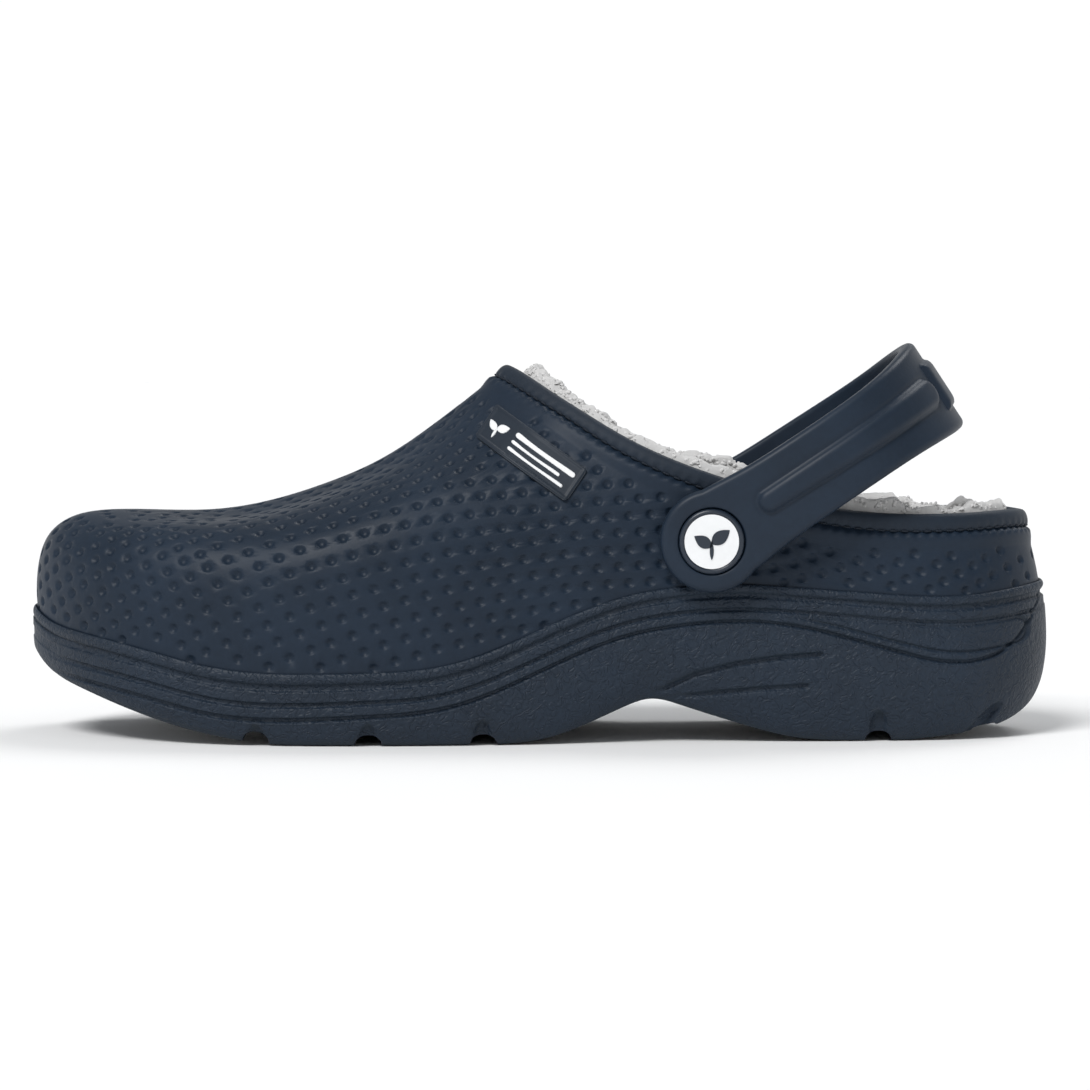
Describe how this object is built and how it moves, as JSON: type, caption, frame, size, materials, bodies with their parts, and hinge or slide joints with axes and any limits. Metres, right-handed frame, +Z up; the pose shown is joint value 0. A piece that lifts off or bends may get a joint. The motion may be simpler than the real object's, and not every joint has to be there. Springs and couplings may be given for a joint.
{
  "type": "rubber garden clog",
  "caption": "Slip-on garden clog with a moulded upper, a fleece lining and a heel strap that swings on rivets.",
  "frame": {"origin": "middle of the clog's box, on the ground it stands on", "axes": "+X from toe to heel, -Y towards the outer side of the foot, +Z up"},
  "size_m": [0.2697, 0.0982, 0.1034],
  "materials": {
    "sole_eva": "matte",
    "upper_eva": "satin",
    "strap_eva": "satin",
    "binding_cloth": "satin",
    "thread": "matte",
    "fleece": "matte",
    "insole_foam": "matte",
    "label_rubber": "satin",
    "washer": "satin",
    "rivet": "satin"
  },
  "bodies": {
    "clog": {"sole_unit": "sole_eva", "upper_shell": "upper_eva", "collar_binding": "binding_cloth", "collar_stitching": "thread", "vamp_lining": "fleece", "quarter_lining": "fleece", "insole_foam": "insole_foam", "footbed_fleece": "fleece", "side_label": "label_rubber", "strap_washer_outer": "washer", "strap_washer_inner": "washer"},
    "strap": {"heel_strap": "strap_eva"},
    "rivet_outer": {"rivet_button_outer": "rivet", "rivet_cap_outer": "rivet"},
    "rivet_inner": {"rivet_button_inner": "rivet", "rivet_cap_inner": "rivet"}
  },
  "joints": [
    {"name": "strap_swing", "type": "hinge", "parent": "clog", "child": "strap", "pos_m": [0.0441, -0.00255, 0.0522], "axis": [0, -1, 0], "range_deg": [-12, 94]},
    {"name": "rivet_outer_spin", "type": "hinge", "parent": "clog", "child": "rivet_outer", "pos_m": [0.0441, -0.038, 0.0522], "axis": [0, -1, 0], "continuous": true},
    {"name": "rivet_inner_spin", "type": "hinge", "parent": "clog", "child": "rivet_inner", "pos_m": [0.0441, 0.033, 0.0522], "axis": [0, -1, 0], "continuous": true}
  ]
}
